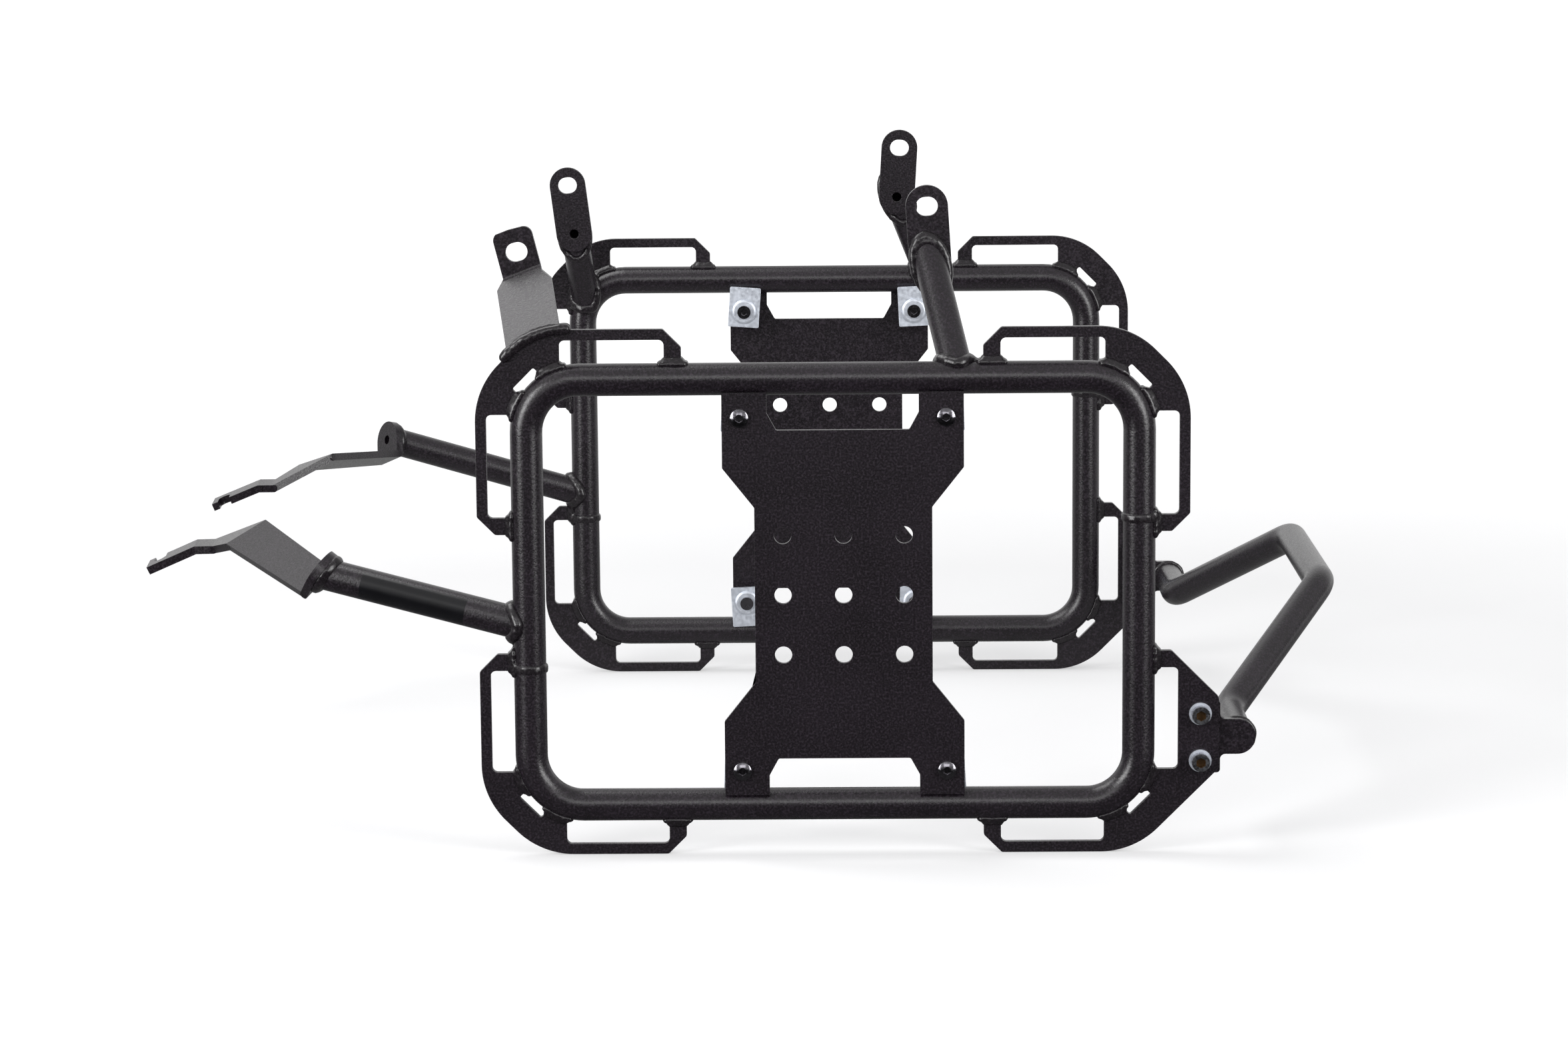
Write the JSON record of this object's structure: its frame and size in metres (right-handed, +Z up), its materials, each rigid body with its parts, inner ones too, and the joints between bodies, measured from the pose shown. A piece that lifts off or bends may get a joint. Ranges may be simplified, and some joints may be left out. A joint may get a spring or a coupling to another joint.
{
  "type": "motorcycle side pannier rack set",
  "caption": "Pair of tubular steel side pannier racks with slotted corner plates, accessory plates and mounting arms, joined behind the wheel by a bent cross tube.",
  "frame": {"origin": "on the ground, under the middle of the set: half way between its front and rear ends and between the two racks", "axes": "+X to the rear of the motorcycle, +Y to the right-hand rack, +Z up"},
  "size_m": [0.7013, 0.5582, 0.3694],
  "materials": {
    "coated_steel": "fine-textured satin black powder coat",
    "zinc": "bright zinc plate with a faint blue cast",
    "black_fastener": "glossy black oxide"
  },
  "bodies": {
    "root": {"left_loop_upper": "coated_steel", "left_loop_lower": "coated_steel", "left_top_front_corner_plate": "coated_steel", "left_top_rear_corner_plate": "coated_steel", "left_bottom_front_corner_plate": "coated_steel", "left_bottom_rear_corner_plate": "coated_steel", "left_upper_rear_arm": "coated_steel", "left_upper_rear_tab": "coated_steel", "left_lower_front_arm": "coated_steel", "left_footpeg_strap": "coated_steel", "left_accessory_plate": "coated_steel", "left_clamp_plates": "zinc", "left_clamp_washers": "zinc", "left_clamp_nuts": "black_fastener", "left_plate_screws": "black_fastener", "left_brace_lug": "coated_steel", "left_brace_screws": "black_fastener", "left_brace_washers": "zinc", "left_brace_nuts": "zinc", "left_weld_beads": "coated_steel", "right_loop_upper": "coated_steel", "right_loop_lower": "coated_steel", "right_top_front_corner_plate": "coated_steel", "right_top_rear_corner_plate": "coated_steel", "right_bottom_front_corner_plate": "coated_steel", "right_bottom_rear_corner_plate": "coated_steel", "right_upper_rear_arm": "coated_steel", "right_upper_rear_tab": "coated_steel", "right_lower_front_arm": "coated_steel", "right_footpeg_strap": "coated_steel", "right_accessory_plate": "coated_steel", "right_clamp_plates": "zinc", "right_clamp_washers": "zinc", "right_clamp_nuts": "black_fastener", "right_plate_screws": "black_fastener", "right_brace_lug": "coated_steel", "right_brace_screws": "black_fastener", "right_brace_washers": "zinc", "right_brace_nuts": "zinc", "right_weld_beads": "coated_steel", "left_upper_front_bracket": "coated_steel", "right_upper_front_arm": "coated_steel", "right_upper_front_tab": "coated_steel", "rear_cross_tube": "coated_steel", "cross_tube_weld_beads": "coated_steel"}
  },
  "joints": []
}
